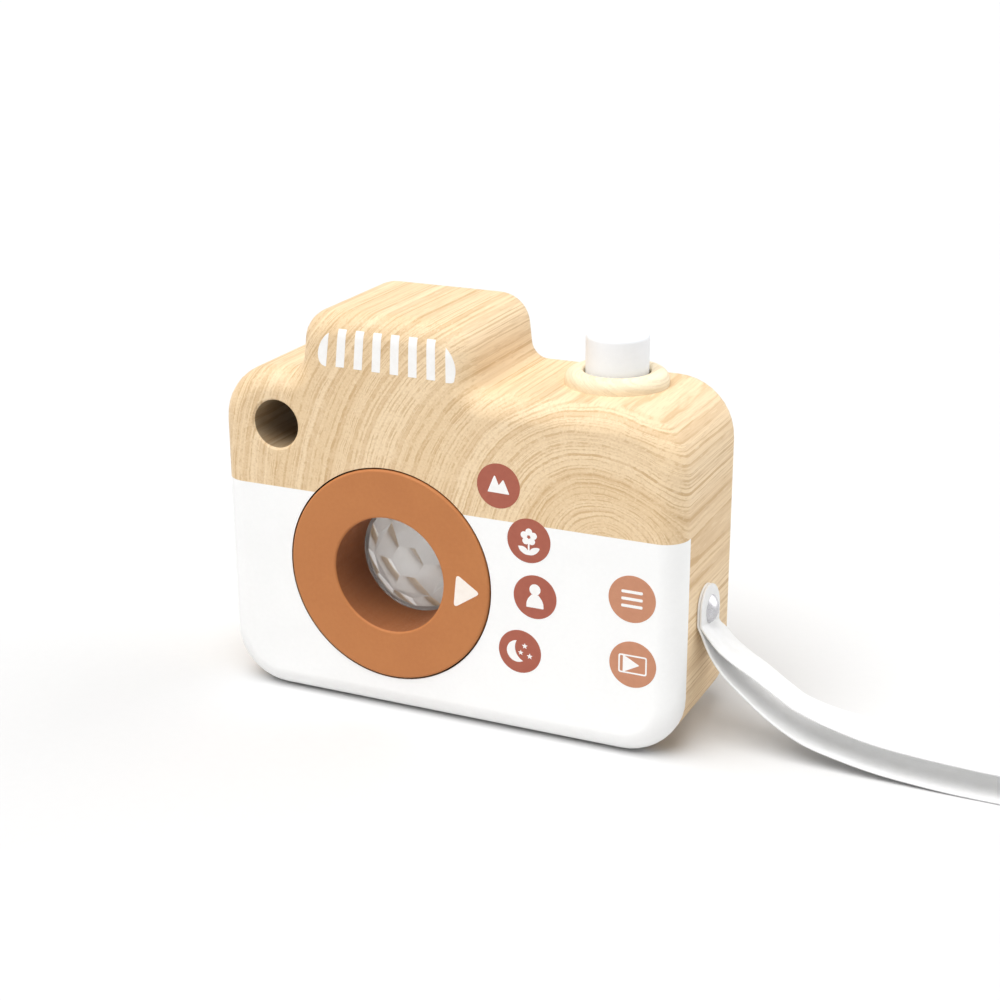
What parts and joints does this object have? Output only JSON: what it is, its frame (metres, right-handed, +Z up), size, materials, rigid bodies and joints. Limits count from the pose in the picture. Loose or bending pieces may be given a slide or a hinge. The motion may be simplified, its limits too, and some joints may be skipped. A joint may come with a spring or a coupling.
{
  "type": "toy camera",
  "caption": "Wooden toy camera with a turning lens ring around a faceted lens, a sprung shutter button, a viewfinder bore and a wrist strap loop.",
  "frame": {"origin": "middle of the flat base that the camera stands on", "axes": "+Z up, +X to the right seen from the front, towards the strap; the lens looks along -Y"},
  "size_m": [0.2473, 0.042, 0.0995],
  "materials": {
    "wood": "fine sanded, clear matt oil",
    "terracotta_paint": "matt water paint on turned wood",
    "clear_acrylic": "clear, polished facets",
    "white_plastic": "moulded",
    "felt": "wool felt",
    "white_paint": "satin water paint on turned wood",
    "spring_steel": "drawn wire",
    "white_leather": "smooth coated",
    "nickel_screw": "nickel plated dome head"
  },
  "bodies": {
    "camera": {"body_block": "wood", "friction_washer": "felt", "shutter_collar": "wood", "shutter_spring": "spring_steel", "strap": "white_leather", "strap_screw": "nickel_screw"},
    "lens": {"lens_ring": "terracotta_paint", "lens_barrel": "terracotta_paint", "kaleidoscope_lens": "clear_acrylic", "lens_retainer": "white_plastic", "rear_ring": "wood"},
    "button": {"shutter_button": "white_paint"}
  },
  "joints": [
    {"name": "lens_turn", "type": "hinge", "parent": "camera", "child": "lens", "pos_m": [-0.0138, 0, 0.0361], "axis": [0, -1, 0], "continuous": true},
    {"name": "shutter_press", "type": "slide", "parent": "camera", "child": "button", "axis": [0, 0, -1], "range_m": [0, 0.004], "stiffness_N_per_m": 300, "springref_m": -0.004, "deforming": ["shutter_spring"]}
  ]
}
